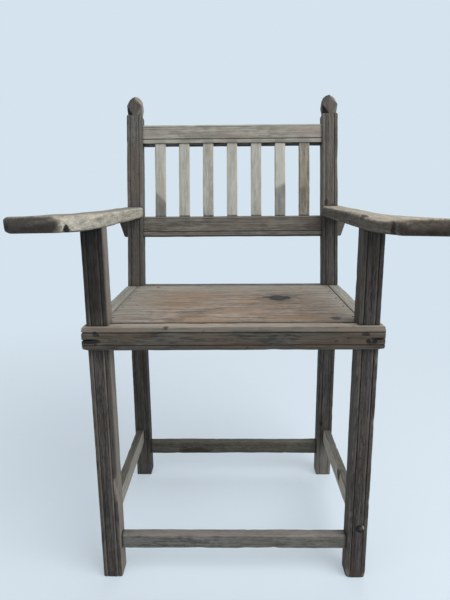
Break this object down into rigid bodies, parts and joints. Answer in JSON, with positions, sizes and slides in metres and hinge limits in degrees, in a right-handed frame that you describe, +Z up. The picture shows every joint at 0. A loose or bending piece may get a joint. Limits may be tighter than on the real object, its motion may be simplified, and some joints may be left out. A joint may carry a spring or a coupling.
{
  "type": "armchair",
  "caption": "Weathered wooden armchair with a raked slatted back, flat arms that flare outwards, a plank seat and low stretchers.",
  "frame": {"origin": "on the floor, under the middle of the chair's width and depth", "axes": "+Z up, -Y the way the sitter faces, +X to the right of someone who looks at the chair's front"},
  "size_m": [0.6142, 0.5682, 0.9009],
  "materials": {
    "leg_wood": "grey weathered, bare",
    "rail_wood": "grey weathered, bare",
    "seat_wood": "worn smooth, bare",
    "back_wood": "grey weathered, bare",
    "slat_wood": "grey weathered, bare",
    "arm_wood": "worn smooth, bare",
    "stretcher_wood": "grey weathered, bare",
    "hidden_wood": "bare",
    "nail_iron": "rusty"
  },
  "bodies": {
    "root": {"front_leg_left": "leg_wood", "front_leg_right": "leg_wood", "rear_leg_left": "leg_wood", "rear_leg_right": "leg_wood", "front_seat_rail": "rail_wood", "side_seat_rail_left": "rail_wood", "side_seat_rail_right": "rail_wood", "rear_seat_rail": "rail_wood", "back_lower_rail": "rail_wood", "seat_board_front": "seat_wood", "seat_board_middle": "seat_wood", "seat_board_rear": "seat_wood", "back_top_rail": "back_wood", "back_slat_1": "slat_wood", "back_slat_2": "slat_wood", "back_slat_3": "slat_wood", "back_slat_4": "slat_wood", "back_slat_5": "slat_wood", "back_slat_6": "slat_wood", "back_slat_7": "slat_wood", "arm_left": "arm_wood", "arm_right": "arm_wood", "stretcher_front": "stretcher_wood", "stretcher_rear": "stretcher_wood", "stretcher_left": "stretcher_wood", "stretcher_right": "stretcher_wood", "seat_cleat_left": "hidden_wood", "seat_cleat_right": "hidden_wood", "rear_seat_rail_peg_left": "hidden_wood", "rear_seat_rail_peg_right": "hidden_wood", "side_seat_rail_peg_left_front": "hidden_wood", "side_seat_rail_peg_left_rear": "hidden_wood", "side_seat_rail_peg_right_front": "hidden_wood", "side_seat_rail_peg_right_rear": "hidden_wood", "stretcher_front_peg_left": "hidden_wood", "stretcher_front_peg_right": "hidden_wood", "stretcher_rear_peg_left": "hidden_wood", "stretcher_rear_peg_right": "hidden_wood", "stretcher_left_peg": "hidden_wood", "stretcher_right_peg": "hidden_wood", "back_top_rail_peg_left": "hidden_wood", "back_top_rail_peg_right": "hidden_wood", "front_seat_rail_nail_left_1": "nail_iron", "front_seat_rail_nail_left_2": "nail_iron", "front_seat_rail_nail_right_1": "nail_iron", "front_seat_rail_nail_right_2": "nail_iron", "seat_nail_front_left_1": "nail_iron", "seat_nail_front_left_2": "nail_iron", "seat_nail_front_right_1": "nail_iron", "seat_nail_front_right_2": "nail_iron", "seat_nail_middle_left_1": "nail_iron", "seat_nail_middle_right_1": "nail_iron", "seat_nail_rear_left_1": "nail_iron", "seat_nail_rear_left_2": "nail_iron", "seat_nail_rear_right_1": "nail_iron", "seat_nail_rear_right_2": "nail_iron", "arm_left_nail": "nail_iron", "arm_right_nail": "nail_iron"}
  },
  "joints": []
}
